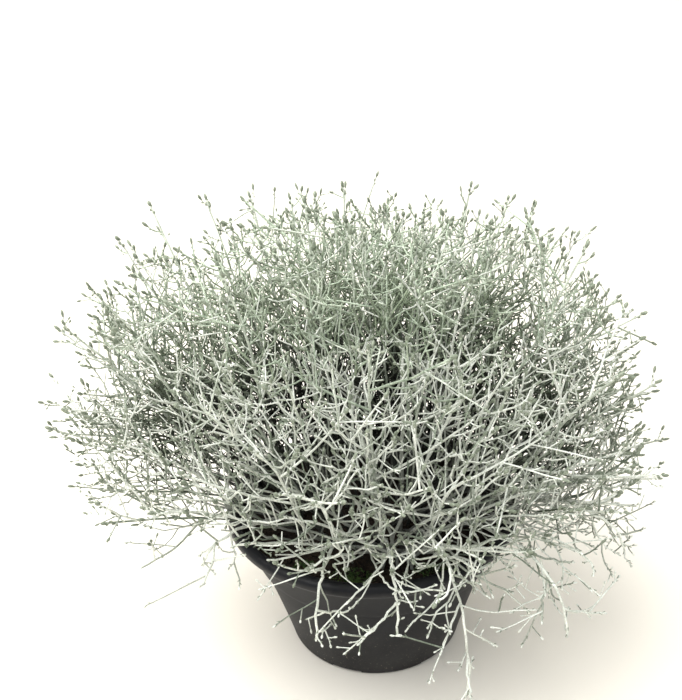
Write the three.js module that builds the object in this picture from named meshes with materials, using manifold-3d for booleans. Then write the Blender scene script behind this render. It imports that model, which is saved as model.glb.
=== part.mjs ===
// A cushion bush in a shallow nursery bowl. Millimetres, +Z up, origin at the middle of the foot.
// The front of the plant faces -Y.

import * as THREE from 'three';
import { mergeVertices } from 'three/addons/utils/BufferGeometryUtils.js';
import Module from 'manifold-3d';

const wasm = await Module();
wasm.setup();

// Pot
const potHeight = 117;
const rimRadius = 113.5;
const lipDepth = 10;
const lipWidth = 9.5;
const lipTuck = 5;
const lipArc = [-55, 125];
const wall = 1.8;
const collarFoot = 76.5;
const collarFootRadius = 93.5;
const collarStep = 2.6;
const collarBlend = 3;
const footRadius = 69;
const footRound = 3.5;
const floorThickness = 5;
const potSides = 36;

// Drainage under the pot: channels that end in the notches of the foot, and a hole in each
const channelCount = 6;
const channelWidth = 24;
const channelHeight = 3;
const channelStart = 34;
const drainRadius = 4.5;
const drainCircle = 52;
const firstChannel = THREE.MathUtils.degToRad(-112);

// Soil
const soilLevel = 104;
const soilBump = 1.6;
const soilEdgeDrop = 3;
const soilRings = 4;
const holeSides = 5;
const holeLength = 42;
const gap = 0.3;

// Stems: hidden depth in the soil, thickness from the ground to the tip, and the buds
const rootDepth = 22;
const stemRise = 4;
const steepestLean = 1.05;
const rimCrest = 34;
const stemThickness = 2.9;
const stemTipThickness = 1.5;
const branchThickness = 1.7;
const branchTipThickness = 1.2;
const twigThickness = 1.25;
const budThickness = 2.3;
const budLength = 5.5;

// The cushion: how far the plant reaches to each side of its middle, and how square its shape is
const middle = new THREE.Vector3(0, 0, 168);
const reachLeft = 235;
const reachRight = 212;
const reachFront = 160;
const reachBack = 183;
const reachUp = 180;
const reachDownLeft = 38;
const reachDownRight = 66;
const squareness = 2.8;
const longestTip = 1.06;

// How many stems rise through the cushion, and how far apart the outermost stand at the soil
const domeStemCount = 18;
const rootSpread = 62;
const goldenAngle = Math.PI * (3 - Math.sqrt(5));
const firstHeading = 2.885;
const lowestDomeStem = 1.2;
const frontStemsRise = 0.2;

// Stems that lean out low over the rim: heading, distance of the tip from the middle, its height
const lowStems = [
  { heading: -67, out: 146, height: 44, branches: 5 },
  { heading: -46, out: 176, height: 84, branches: 5 },
  { heading: -86, out: 134, height: 98, branches: 4 },
  { heading: -108, out: 140, height: 96, branches: 3 },
  { heading: -141, out: 152, height: 130, branches: 2 },
  { heading: -22, out: 190, height: 106, branches: 4 },
];

// Side shoots: how many, where on their carrier, how long and at what angle they leave it
const branchesOnDomeStem = 6;
const branchZone = [0.36, 0.94];
const branchLength = [76, 106];
const branchLengthOnLowStem = [34, 60];
const deepestDroop = 12;
const rootShare = 0.5;
const branchAngle = [0.75, 1.15];
const twigsOnBranch = 2;
const twigsOnStem = 1;
const twigZoneOnBranch = [0.3, 0.94];
const twigZoneOnStem = [0.66, 0.94];
const twigLength = [22, 42];
const twigAngle = [0.8, 1.2];
const shootLift = 0.5;

// Room that stays between two stems or twigs that don't grow from each other
const clearance = 0.5;
const tries = 8;
const floorRoom = 12;

const potFinish = new THREE.MeshStandardMaterial({ color: 0x25262b, roughness: 0.55, metalness: 0 });
const soilFinish = new THREE.MeshStandardMaterial({ color: 0x1b140f, roughness: 1, metalness: 0 });
const stemFinish = new THREE.MeshStandardMaterial({ color: 0xb9c2b8, roughness: 0.9, metalness: 0 });

// A closed mesh as a solid that can be cut and joined.
function solidOf(geometry) {
  const points = geometry.clone();
  points.deleteAttribute('normal');
  points.deleteAttribute('uv');
  const merged = mergeVertices(points, 1e-4);
  const corners = merged.index.array;
  const triangles = [];
  for (let i = 0; i < corners.length; i += 3) {
    const [a, b, c] = corners.slice(i, i + 3);
    if (a !== b && b !== c && c !== a) triangles.push(a, b, c);
  }
  return new wasm.Manifold(new wasm.Mesh({
    numProp: 3,
    vertProperties: new Float32Array(merged.attributes.position.array),
    triVerts: new Uint32Array(triangles),
  }));
}

function meshOf(name, solid, finish) {
  const { vertProperties, triVerts } = solid.getMesh();
  const geometry = new THREE.BufferGeometry();
  geometry.setAttribute('position', new THREE.BufferAttribute(vertProperties, 3));
  geometry.setIndex(new THREE.BufferAttribute(triVerts, 1));
  geometry.computeVertexNormals();
  const mesh = new THREE.Mesh(geometry, finish);
  mesh.name = name;
  return mesh;
}

// A profile of [radius, height] pairs turned about the Z axis.
function turned(profile, sides) {
  const points = profile.map(([radius, height]) => new THREE.Vector2(radius, height));
  return new THREE.LatheGeometry(points, sides).rotateX(Math.PI / 2);
}

function roundStretch(centre, radius, from, to, steps) {
  const points = [];
  for (let i = 0; i <= steps; i += 1) {
    const angle = THREE.MathUtils.degToRad(from + ((to - from) * i) / steps);
    points.push([centre[0] + radius * Math.cos(angle), centre[1] + radius * Math.sin(angle)]);
  }
  return points;
}

// Inside radius of the pot's wall at a height.
function insideRadius(height) {
  const lower = collarFoot - collarBlend;
  const bodyTop = collarFootRadius - collarStep - wall;
  if (height < lower) return footRadius - wall + ((bodyTop - footRadius + wall) * height) / lower;
  const rimInside = rimRadius - lipWidth;
  const part = Math.min((height - lower) / (potHeight - lipDepth / 2 - lower), 1);
  return bodyTop + (rimInside - bodyTop) * part;
}

function buildPot() {
  const lipRadius = lipDepth / 2;
  const lipCentre = [rimRadius - lipRadius, potHeight - lipRadius];
  const collarTop = potHeight - lipDepth + 1;
  const profile = [
    [0, 0],
    ...roundStretch([footRadius - footRound, footRound], footRound, -90, 0, 2),
    [collarFootRadius - collarStep, collarFoot],
    [collarFootRadius, collarFoot],
    [rimRadius - lipTuck, collarTop],
    ...roundStretch(lipCentre, lipRadius, ...lipArc, 5),
    [rimRadius - lipWidth, potHeight - lipDepth / 2],
    [insideRadius(collarFoot - collarBlend), collarFoot - collarBlend],
    [insideRadius(floorThickness), floorThickness],
    [0, floorThickness],
  ];
  let pot = solidOf(turned(profile, potSides));
  for (let i = 0; i < channelCount; i += 1) {
    const heading = firstChannel + (i * 2 * Math.PI) / channelCount;
    const length = footRadius + 10 - channelStart;
    const channel = new THREE.BoxGeometry(length, channelWidth, channelHeight * 2);
    channel.translate(channelStart + length / 2, 0, 0).rotateZ(heading);
    const drain = new THREE.CylinderGeometry(drainRadius, drainRadius, floorThickness * 3, 8);
    drain.rotateX(Math.PI / 2).translate(drainCircle, 0, 0).rotateZ(heading);
    pot = pot.subtract(solidOf(channel)).subtract(solidOf(drain));
  }
  return pot;
}

// The soil's uneven top, lower towards the rim.
function soilTop(x, y) {
  const waves = Math.sin(x / 17 + 1) * Math.cos(y / 21) + 0.6 * Math.sin((x + 2 * y) / 13);
  return soilLevel + soilBump * waves - soilEdgeDrop * (Math.hypot(x, y) / rimRadius) ** 3;
}

function buildSoil(stems) {
  const bottom = floorThickness + gap;
  const edge = soilLevel - soilEdgeDrop;
  const profile = [
    [0, bottom],
    [insideRadius(bottom) - gap, bottom],
    [insideRadius(collarFoot - collarBlend) - gap, collarFoot - collarBlend],
    [insideRadius(edge) - gap, edge],
  ];
  for (let i = soilRings - 1; i >= 0; i -= 1) {
    profile.push([((insideRadius(edge) - 8) * i) / (soilRings - 1), soilLevel]);
  }
  const body = turned(profile, potSides);
  const place = body.attributes.position;
  for (let i = 0; i < place.count; i += 1) {
    if (place.getZ(i) > edge + 1) place.setZ(i, soilTop(place.getX(i), place.getY(i)));
  }
  let soil = solidOf(body);
  for (const stem of stems) {
    const radius = (stem.radii[0] + gap) / Math.cos(Math.PI / holeSides);
    const hole = new THREE.CylinderGeometry(radius, radius, holeLength, holeSides);
    hole.rotateX(Math.PI / 2);
    hole.translate(stem.path[0].x, stem.path[0].y, stem.path[0].z - gap + holeLength / 2);
    soil = soil.subtract(solidOf(hole));
  }
  return soil;
}

// Draws between 0 and 1 that are the same on every run for the same whole numbers.
function drawsFor(...numbers) {
  let state = numbers.reduce((sum, number) => (sum * 977 + number + 1) % 2147483647, 3);
  const draw = () => {
    state = (state * 16807) % 2147483647;
    return state / 2147483647;
  };
  for (let i = 0; i < 4; i += 1) draw();
  return draw;
}

function between(draw, low, high) {
  return low + (high - low) * draw();
}

function headed(heading, fromUp) {
  const flat = Math.sin(fromUp);
  return new THREE.Vector3(flat * Math.cos(heading), flat * Math.sin(heading), Math.cos(fromUp));
}

// How far out to the sides a point is: 1 on the cushion's outline from above.
function sideways({ x, y }) {
  return Math.hypot(x / (x < 0 ? reachLeft : reachRight), y / (y < 0 ? reachFront : reachBack));
}

// How far out in the cushion a point is: 1 on its outer skin, 0 at its middle.
function fullness(point) {
  const { x, z } = point.clone().sub(middle);
  const flat = sideways(point);
  const down = x < 0 ? reachDownLeft : reachDownRight;
  const upright = Math.abs(z) / (z < 0 ? down : reachUp);
  return (flat ** squareness + upright ** squareness) ** (1 / squareness);
}

function bezier(a, b, c, d, steps) {
  return new THREE.CubicBezierCurve3(a, b, c, d).getPoints(steps);
}

// The middle line of a stem that rises through the cushion: it leaves the soil at a slant and
// bends up towards its tip.
function domeStem(index) {
  const draw = drawsFor(index);
  const fromUp = Math.acos(1 - ((index + 0.4) * lowestDomeStem) / domeStemCount);
  const heading = index * goldenAngle + firstHeading;
  const front = Math.max(-Math.sin(heading), 0);
  const tilt = fromUp * (1 - frontStemsRise * front ** 2);
  const way = headed(heading + between(draw, -0.08, 0.08), tilt);
  const reach = between(draw, 0.9, 1) / fullness(way.clone().add(middle));
  const spread = rootSpread * (0.14 + 0.86 * Math.sin(tilt));
  return stemLine(heading, spread, way.multiplyScalar(reach).add(middle), tilt, tilt * (0.45 + 0.25 * tilt));
}

// The middle line of a stem that leans out low, crosses over the rim and hangs down outside it.
function lowStem({ heading, out, height }) {
  const angle = THREE.MathUtils.degToRad(heading);
  const around = (radius, z) => new THREE.Vector3(radius * Math.cos(angle), radius * Math.sin(angle), z);
  const [bottom, start] = stemFoot(angle, rootSpread * 0.82);
  const crest = potHeight + rimCrest;
  return [bottom, ...bezier(start, around(rimRadius * 0.72, crest), around(out, crest), around(out, height), 6)];
}

function stemFoot(heading, spread) {
  const x = spread * Math.cos(heading);
  const y = spread * Math.sin(heading);
  const height = soilTop(x, y);
  return [new THREE.Vector3(x, y, height - rootDepth), new THREE.Vector3(x, y, height + stemRise)];
}

function stemLine(heading, spread, tip, startTilt, endTilt) {
  const [bottom, start] = stemFoot(heading, spread);
  const length = tip.distanceTo(start);
  const leave = headed(heading, Math.min(startTilt * 1.15 + 0.12, steepestLean));
  const arrive = headed(heading, endTilt);
  const a = start.clone().addScaledVector(leave, length * 0.38);
  const b = tip.clone().addScaledVector(arrive, -length * 0.36);
  return [bottom, ...bezier(start, a, b, tip, 5)];
}

// A point, a heading and a thickness part of the way along a line.
function along(line, part) {
  const place = part * (line.length - 1);
  const i = Math.min(Math.floor(place), line.length - 2);
  const point = line[i].clone().lerp(line[i + 1], place - i);
  const way = line[i + 1].clone().sub(line[i]).normalize();
  return { point, way };
}

// The middle line of a side shoot: it leaves its carrier at a wide angle and bends up and out.
function shootLine(carrier, part, turn, angle, length, steps) {
  const { point, way } = along(carrier, part);
  const across = new THREE.Vector3(-way.y, way.x, 0.01).normalize();
  const side = across.applyAxisAngle(way, turn);
  const heading = way.clone().multiplyScalar(Math.cos(angle)).addScaledVector(side, Math.sin(angle));
  const line = [point];
  const away = point.clone().setZ(0).normalize();
  const lift = away.multiplyScalar(0.5).add(new THREE.Vector3(0, 0, 1));
  for (let i = 0; i < steps; i += 1) {
    line.push(line[i].clone().addScaledVector(heading, length / steps));
    heading.addScaledVector(lift, shootLift / steps).normalize();
  }
  return line;
}

// The radius at each point of a line, from its foot to the neck of its bud.
function taper(line, footThickness, neckThickness, corner) {
  const last = line.length - 1;
  return line.map((_, i) => (corner / 2) * (footThickness + ((neckThickness - footThickness) * i) / last));
}

// Lengthens a line by its bud: a belly and a point.
function withBud(line, radii, corner) {
  const end = line[line.length - 1];
  const way = end.clone().sub(line[line.length - 2]).normalize();
  const belly = end.clone().addScaledVector(way, budLength * 0.45);
  const point = end.clone().addScaledVector(way, budLength);
  return { path: [...line, belly, point], radii: [...radii, (budThickness * corner) / 2] };
}

// A rod with a flat foot and a pointed end, whose ring i lies across path[i].
function rod({ path, radii }, sides) {
  const profile = [new THREE.Vector2(0, 0)];
  radii.forEach((radius, i) => profile.push(new THREE.Vector2(radius, i)));
  profile.push(new THREE.Vector2(0, radii.length));
  const straight = new THREE.LatheGeometry(profile, sides);
  const frames = framesAlong(path);
  const place = straight.attributes.position;
  for (let i = 0; i < place.count; i += 1) {
    const ring = Math.round(place.getY(i));
    const bent = path[ring].clone();
    bent.addScaledVector(frames[ring].right, place.getX(i));
    bent.addScaledVector(frames[ring].front, place.getZ(i));
    place.setXYZ(i, bent.x, bent.y, bent.z);
  }
  return solidOf(straight);
}

function framesAlong(path) {
  const frames = [];
  let right = new THREE.Vector3(0.31, 0.87, 0.38);
  for (let i = 0; i < path.length; i += 1) {
    const before = path[Math.max(i - 1, 0)];
    const after = path[Math.min(i + 1, path.length - 1)];
    const up = after.clone().sub(before).normalize();
    right = right.clone().addScaledVector(up, -right.dot(up)).normalize();
    frames.push({ right, front: right.clone().cross(up) });
  }
  return frames;
}

// Shortest distance between two straight stretches a-b and c-d.
function distanceBetween(a, b, c, d) {
  const u = b.clone().sub(a);
  const v = d.clone().sub(c);
  const w = a.clone().sub(c);
  const uu = u.dot(u);
  const uv = u.dot(v);
  const vv = v.dot(v);
  const uw = u.dot(w);
  const vw = v.dot(w);
  const limit = (value) => Math.min(Math.max(value, 0), 1);
  const flat = uu * vv - uv * uv;
  let s = flat < 1e-9 ? 0 : limit((uv * vw - vv * uw) / flat);
  const t = limit((uv * s + vw) / vv);
  s = limit((uv * t - uw) / uu);
  return w.addScaledVector(u, s).addScaledVector(v, -t).length();
}

// Whether a shoot stays off the pot, the soil, the floor and everything that grew before it.
function isClear(shoot, placed, family) {
  const { path, radii } = shoot;
  for (let i = 1; i < path.length; i += 1) {
    const radius = radii[Math.min(i, radii.length - 1)];
    if (i > 1 || !shoot.standsInSoil) {
      for (const part of [0.5, 1]) {
        if (!offPot(path[i - 1].clone().lerp(path[i], part), radius)) return false;
      }
    }
    for (const other of placed) {
      if (family.includes(other.shoot)) continue;
      const room = other.radius + radius + clearance;
      if (other.middle.distanceTo(path[i]) > other.half + room + path[i].distanceTo(path[i - 1])) continue;
      if (distanceBetween(path[i - 1], path[i], other.a, other.b) < room) return false;
    }
  }
  return true;
}

function offPot(point, radius) {
  const out = Math.hypot(point.x, point.y);
  if (point.z < floorRoom) return false;
  if (out > rimRadius + radius + 1.5) return true;
  if (out > rimRadius - lipWidth - radius - 1.5) return point.z > potHeight + radius + 1;
  return point.z > soilTop(point.x, point.y) + radius + 1;
}

function place(shoot, placed) {
  const { path, radii } = shoot;
  for (let i = 1; i < path.length; i += 1) {
    const middle = path[i].clone().lerp(path[i - 1], 0.5);
    const half = path[i].distanceTo(path[i - 1]) / 2;
    const radius = radii[Math.min(i, radii.length - 1)];
    placed.push({ shoot, a: path[i - 1], b: path[i], middle, half, radius });
  }
}

// A rod with 3 or 4 sides is as thick as a round one when its corners stand out by this much.
const corner3 = Math.sqrt(Math.PI / (0.75 * Math.sqrt(3)));
const corner4 = Math.sqrt(Math.PI / 2);

function growStem(line, placed) {
  const radii = taper(line, stemThickness, stemTipThickness, corner4);
  const stem = { ...withBud(line, radii, corner4), standsInSoil: true, line };
  if (!isClear(stem, placed, [])) throw new Error('a stem found no room');
  place(stem, placed);
  return { stem };
}

// How far a point is from the nearest end of anything that grew before.
function roomAround(point, placed) {
  return placed.reduce((room, other) => Math.min(room, other.b.distanceTo(point)), Infinity);
}

// Of the side shoots that a rule draws, the clear one whose tip has the most room, or null.
function growShoot(make, placed, family) {
  const lines = [];
  for (let i = 0; i < tries; i += 1) {
    const line = make(i);
    const tip = line[line.length - 1];
    const out = family.low ? sideways(tip) : fullness(tip);
    const droops = family.low && tip.z < family.low.height - deepestDroop;
    if (out <= longestTip && !droops) lines.push({ line, room: roomAround(tip, placed) });
  }
  lines.sort((a, b) => b.room - a.room);
  for (const { line } of lines) {
    const radii = taper(line, family.thickness, family.tipThickness, corner3);
    radii[0] *= rootShare;
    const shoot = { ...withBud(line, radii, corner3), line };
    if (isClear(shoot, placed, family.members)) {
      place(shoot, placed);
      return shoot;
    }
  }
  return null;
}

function growBranches(stem, index, low, placed) {
  const count = low ? low.branches : branchesOnDomeStem;
  const lengths = low ? branchLengthOnLowStem : branchLength;
  const branches = [];
  for (let i = 0; i < count; i += 1) {
    const make = (again) => {
      const draw = drawsFor(index, i, again);
      const [first, last] = branchZone;
      const part = first + ((last - first) * (i + between(draw, 0.2, 0.8))) / count;
      const turn = between(draw, 0, 2 * Math.PI);
      const length = between(draw, ...lengths) * (1.45 - 0.95 * part);
      return shootLine(stem.line, part, turn, between(draw, ...branchAngle), length, 2);
    };
    const family = { members: [stem], thickness: branchThickness, tipThickness: branchTipThickness, low };
    const branch = growShoot(make, placed, family);
    if (branch) branches.push(branch);
  }
  return branches;
}

function growTwigs(carrier, members, numbers, count, [first, last], low, placed) {
  const twigs = [];
  for (let i = 0; i < count; i += 1) {
    const make = (again) => {
      const draw = drawsFor(...numbers, i, again);
      const part = first + ((last - first) * (i + between(draw, 0.1, 0.9))) / count;
      const turn = between(draw, 0, 2 * Math.PI);
      const length = between(draw, ...twigLength);
      return shootLine(carrier.line, part, turn, between(draw, ...twigAngle), length, 1);
    };
    const family = { members, thickness: twigThickness, tipThickness: twigThickness, low };
    const twig = growShoot(make, placed, family);
    if (twig) twigs.push(twig);
  }
  return twigs;
}

function buildSprays() {
  const placed = [];
  const sprays = [];
  for (let i = 0; i < domeStemCount; i += 1) sprays.push(growStem(domeStem(i), placed));
  for (const low of lowStems) sprays.push(growStem(lowStem(low), placed));
  sprays.forEach((spray, i) => {
    const low = lowStems[i - domeStemCount];
    spray.branches = growBranches(spray.stem, i, low, placed);
  });
  sprays.forEach((spray, i) => {
    const low = lowStems[i - domeStemCount];
    const { stem, branches } = spray;
    spray.twigs = branches.flatMap((branch, j) => (
      growTwigs(branch, [branch, stem], [i, j + 50], twigsOnBranch, twigZoneOnBranch, low, placed)));
    spray.twigs.push(...growTwigs(stem, [stem], [i, 99], twigsOnStem, twigZoneOnStem, low, placed));
  });
  return sprays;
}

function spraySolid({ stem, branches, twigs }) {
  const rods = [rod(stem, 4), ...[...branches, ...twigs].map((shoot) => rod(shoot, 3))];
  return wasm.Manifold.union(rods);
}

const sprays = buildSprays();
const plant = new THREE.Group();
plant.add(meshOf('pot', buildPot(), potFinish));
plant.add(meshOf('soil', buildSoil(sprays.map((spray) => spray.stem)), soilFinish));
sprays.forEach((spray, i) => {
  const name = `stem_${String(i + 1).padStart(2, '0')}`;
  plant.add(meshOf(name, spraySolid(spray), stemFinish));
});

export default plant;
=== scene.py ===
import math

import bmesh
import bpy
import numpy
from mathutils import Matrix, Vector, noise


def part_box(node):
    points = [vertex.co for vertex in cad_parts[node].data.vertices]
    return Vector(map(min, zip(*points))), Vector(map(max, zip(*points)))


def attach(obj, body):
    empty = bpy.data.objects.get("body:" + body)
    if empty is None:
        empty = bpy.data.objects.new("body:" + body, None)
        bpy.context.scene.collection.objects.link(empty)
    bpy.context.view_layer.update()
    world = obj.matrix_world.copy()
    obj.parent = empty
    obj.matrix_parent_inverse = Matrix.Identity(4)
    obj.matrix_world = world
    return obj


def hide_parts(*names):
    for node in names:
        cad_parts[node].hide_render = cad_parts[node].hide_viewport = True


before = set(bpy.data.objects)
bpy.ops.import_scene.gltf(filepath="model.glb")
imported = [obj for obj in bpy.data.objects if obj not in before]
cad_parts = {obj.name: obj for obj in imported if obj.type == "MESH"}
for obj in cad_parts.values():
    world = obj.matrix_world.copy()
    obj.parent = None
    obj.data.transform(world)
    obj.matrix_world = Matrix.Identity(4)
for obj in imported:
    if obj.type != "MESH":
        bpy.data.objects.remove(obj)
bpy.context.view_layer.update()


# The pot. A shallow bowl of about 23 cm, injection moulded in black plastic 1.8 mm thick, with
# a rolled lip, a flared collar that steps in to a tapered wall, and channels under the floor
# that end in notches in the foot.
pot_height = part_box("pot")[1].z
rim_radius = 0.1135
lip_depth = 0.010
lip_width = 0.0095
lip_tuck = 0.005
wall = 0.0018
collar_foot = 0.0765
collar_foot_radius = 0.0935
collar_step = 0.0026
foot_radius = 0.069
foot_round = 0.0035
floor_thickness = 0.005
pot_steps = 144
channel_count = 6
channel_width = 0.024
channel_height = 0.003
channel_start = 0.034
drain_radius = 0.0045
drain_circle = 0.052
first_channel = math.radians(-112)


def round_stretch(centre, radius, start, stop, steps):
    """Points of an arc in the plane of radius and height."""
    points = []
    for i in range(steps + 1):
        angle = math.radians(start + (stop - start) * i / steps)
        points.append((centre[0] + radius * math.cos(angle), centre[1] + radius * math.sin(angle)))
    return points


def turned(name, profile, steps):
    """A solid of revolution from (radius, height) points that start and end on the axis."""
    shape = bmesh.new()
    points = [shape.verts.new((radius, 0, height)) for radius, height in profile]
    edges = [shape.edges.new(pair) for pair in zip(points, points[1:])]
    bmesh.ops.spin(shape, geom=points + edges, cent=(0, 0, 0), axis=(0, 0, 1), dvec=(0, 0, 0),
                   angle=math.tau, steps=steps, use_merge=True)
    bmesh.ops.remove_doubles(shape, verts=shape.verts, dist=1e-6)
    bmesh.ops.recalc_face_normals(shape, faces=shape.faces)
    mesh = bpy.data.meshes.new(name)
    shape.to_mesh(mesh)
    shape.free()
    piece = bpy.data.objects.new(name, mesh)
    bpy.context.scene.collection.objects.link(piece)
    return piece


def inside_radius(height):
    """Radius of the pot's inner wall at a height."""
    lower = collar_foot - 0.003
    body_top = collar_foot_radius - collar_step - wall
    if height < lower:
        return foot_radius - wall + (body_top - foot_radius + wall) * height / lower
    part = min((height - lower) / (pot_height - lip_depth / 2 - lower), 1)
    return body_top + (rim_radius - lip_width - body_top) * part


def wall_point(part):
    """A point of the outer wall between the foot and the collar, a little hollow in the middle."""
    start = Vector((foot_radius, foot_round))
    end = Vector((collar_foot_radius - collar_step, collar_foot - 0.0008))
    point = start.lerp(end, part)
    point.x -= 0.0007 * math.sin(math.pi * part)
    return tuple(point)


lip_radius = lip_depth / 2
lip_centre = (rim_radius - lip_radius, pot_height - lip_radius)
collar_top = pot_height - lip_depth + 0.001
profile = [(0, 0.0006), (0.018, 0.0006), (0.0186, 0)]
profile += round_stretch((foot_radius - foot_round, foot_round), foot_round, -90, 0, 8)
profile += [wall_point(i / 12) for i in range(1, 13)]
profile += [(collar_foot_radius - 0.0004, collar_foot), (collar_foot_radius, collar_foot + 0.0005)]
for i in range(1, 8):
    part = i / 8
    flare = collar_foot_radius + (rim_radius - lip_tuck - collar_foot_radius) * part ** 1.15
    profile.append((flare, collar_foot + (collar_top - collar_foot) * part))
profile += [(rim_radius - lip_tuck - 0.0003, collar_top - 0.0012),
            (rim_radius - lip_tuck - 0.0009, collar_top)]
profile += round_stretch(lip_centre, lip_radius, -55, 128, 22)
profile += [(rim_radius - lip_width, pot_height - lip_depth / 2)]
profile += [(inside_radius(z), z) for z in (0.1, 0.09, 0.08, 0.0735, 0.05, 0.03, 0.012)]
profile += [(inside_radius(floor_thickness) - 0.004, floor_thickness), (0, floor_thickness)]
pot = turned("pot_moulding", profile, pot_steps)

cutters = bmesh.new()
for i in range(channel_count):
    around = Matrix.Rotation(first_channel + math.tau * i / channel_count, 4, "Z")
    length = foot_radius + 0.01 - channel_start
    channel = Matrix.Translation((channel_start + length / 2, 0, 0))
    size = Matrix.Diagonal((length, channel_width, channel_height * 2, 1))
    drain = Matrix.Translation((drain_circle, 0, 0))
    bmesh.ops.create_cube(cutters, size=1, matrix=around @ channel @ size)
    bmesh.ops.create_cone(cutters, cap_ends=True, segments=24, radius1=drain_radius, radius2=drain_radius,
                          depth=floor_thickness * 3, matrix=around @ drain)
cutter_mesh = bpy.data.meshes.new("pot_cutters")
cutters.to_mesh(cutter_mesh)
cutters.free()
cutter = bpy.data.objects.new("pot_cutters", cutter_mesh)
bpy.context.scene.collection.objects.link(cutter)
cut = pot.modifiers.new("channels", "BOOLEAN")
cut.operation = "DIFFERENCE"
cut.solver = "EXACT"
cut.use_self = True
cut.object = cutter
cut_mesh = bpy.data.meshes.new_from_object(pot.evaluated_get(bpy.context.evaluated_depsgraph_get()))
pot.modifiers.clear()
pot.data = cut_mesh
pot.data.name = "pot_moulding"
bpy.data.objects.remove(cutter)
pot.data.set_sharp_from_angle(angle=math.radians(38))


def new_material(name):
    """A material with a Principled shader, and a short way to add and join nodes."""
    material = bpy.data.materials.new(name)
    material.use_nodes = True
    nodes = material.node_tree.nodes
    shader = nodes["Principled BSDF"]

    def add(kind, **values):
        node = nodes.new(kind)
        for key, value in values.items():
            if key in node.inputs:
                node.inputs[key].default_value = value
            else:
                setattr(node, key, value)
        return node

    def join(output, socket):
        material.node_tree.links.new(output, socket)

    place = add("ShaderNodeTexCoord").outputs["Object"]
    return material, shader, add, join, place


def ramp_between(add, join, source, low, high, stops):
    """A colour ramp with two colours at two positions."""
    ramp = add("ShaderNodeValToRGB")
    ramp.color_ramp.elements[0].position, ramp.color_ramp.elements[1].position = stops
    ramp.color_ramp.elements[0].color = (*low, 1)
    ramp.color_ramp.elements[1].color = (*high, 1)
    join(source, ramp.inputs["Fac"])
    return ramp.outputs["Color"]


# Black plastic: blue-black, faintly pebbled, glossier on the rolled lip, with pale dust and
# splashes of dried peat low on the wall.
black_shade = (0.0064, 0.0068, 0.0086)
black_light = (0.0143, 0.0148, 0.0172)
dust_colour = (0.33, 0.29, 0.23, 1)
film_colour = (0.19, 0.175, 0.15, 1)
plastic, shader, add, join, place = new_material("black_plastic")
shader.inputs["Specular IOR Level"].default_value = 0.19
height = add("ShaderNodeSeparateXYZ")
join(place, height.inputs["Vector"])
cloud = add("ShaderNodeTexNoise", Scale=26.0, Detail=6.0, Roughness=0.62)
join(place, cloud.inputs["Vector"])
base = ramp_between(add, join, cloud.outputs["Fac"], black_shade, black_light, (0.35, 0.7))
speck = add("ShaderNodeTexNoise", Scale=620.0, Detail=2.0)
join(place, speck.inputs["Vector"])
speck_mask = add("ShaderNodeMapRange", **{"From Min": 0.66, "From Max": 0.72})
join(speck.outputs["Fac"], speck_mask.inputs["Value"])
low_down = add("ShaderNodeMapRange", **{"From Min": 0.062, "From Max": 0.004})
join(height.outputs["Z"], low_down.inputs["Value"])
patchy = add("ShaderNodeMath", operation="MULTIPLY")
join(cloud.outputs["Fac"], patchy.inputs[0])
join(low_down.outputs["Result"], patchy.inputs[1])
dusty = add("ShaderNodeMath", operation="MULTIPLY")
join(patchy.outputs["Value"], dusty.inputs[0])
join(speck_mask.outputs["Result"], dusty.inputs[1])
dust = add("ShaderNodeMix", data_type="RGBA")
join(dusty.outputs["Value"], dust.inputs["Factor"])
join(base, dust.inputs["A"])
dust.inputs["B"].default_value = dust_colour
film = add("ShaderNodeMix", data_type="RGBA")
film_part = add("ShaderNodeMath", operation="MULTIPLY")
join(patchy.outputs["Value"], film_part.inputs[0])
film_part.inputs[1].default_value = 0.16
join(film_part.outputs["Value"], film.inputs["Factor"])
join(dust.outputs["Result"], film.inputs["A"])
film.inputs["B"].default_value = film_colour
join(film.outputs["Result"], shader.inputs["Base Color"])
gloss = add("ShaderNodeMapRange", **{"From Min": 0.100, "From Max": 0.113, "To Min": 0.56, "To Max": 0.36})
join(height.outputs["Z"], gloss.inputs["Value"])
join(gloss.outputs["Result"], shader.inputs["Roughness"])
pebble = add("ShaderNodeTexNoise", Scale=900.0, Detail=3.0)
join(place, pebble.inputs["Vector"])
bump = add("ShaderNodeBump", Strength=0.18, Distance=0.0004)
join(pebble.outputs["Fac"], bump.inputs["Height"])
join(bump.outputs["Normal"], shader.inputs["Normal"])

pot.data.materials.clear()
pot.data.materials.append(plastic)
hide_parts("pot")
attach(pot, "root")


# The soil. Dark, moist peat that fills the pot to about a finger's width under the lip, with an
# uneven top of crumbs and slivers of bark.
soil_level = 0.104
soil_bump = 0.0016
gap = 0.0003
crumb_count = 900
peat_dark = (0.0045, 0.0034, 0.0026)
peat_light = (0.034, 0.022, 0.013)
bark_colour = (0.10, 0.062, 0.034, 1)


def draws_for(*numbers):
    """Draws between 0 and 1 that are the same on every run for the same whole numbers."""
    state = 3
    for number in numbers:
        state = (state * 977 + number + 1) % 2147483647

    def draw():
        nonlocal state
        state = state * 16807 % 2147483647
        return state / 2147483647

    for _ in range(4):
        draw()
    return draw


def between(draw, low, high):
    return low + (high - low) * draw()


def soil_top(x, y):
    """Height of the soil's uneven top, lower towards the rim."""
    waves = math.sin(x / 0.017 + 1) * math.cos(y / 0.021) + 0.6 * math.sin((x + 2 * y) / 0.013)
    return soil_level + soil_bump * waves - 0.003 * (math.hypot(x, y) / rim_radius) ** 3


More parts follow.
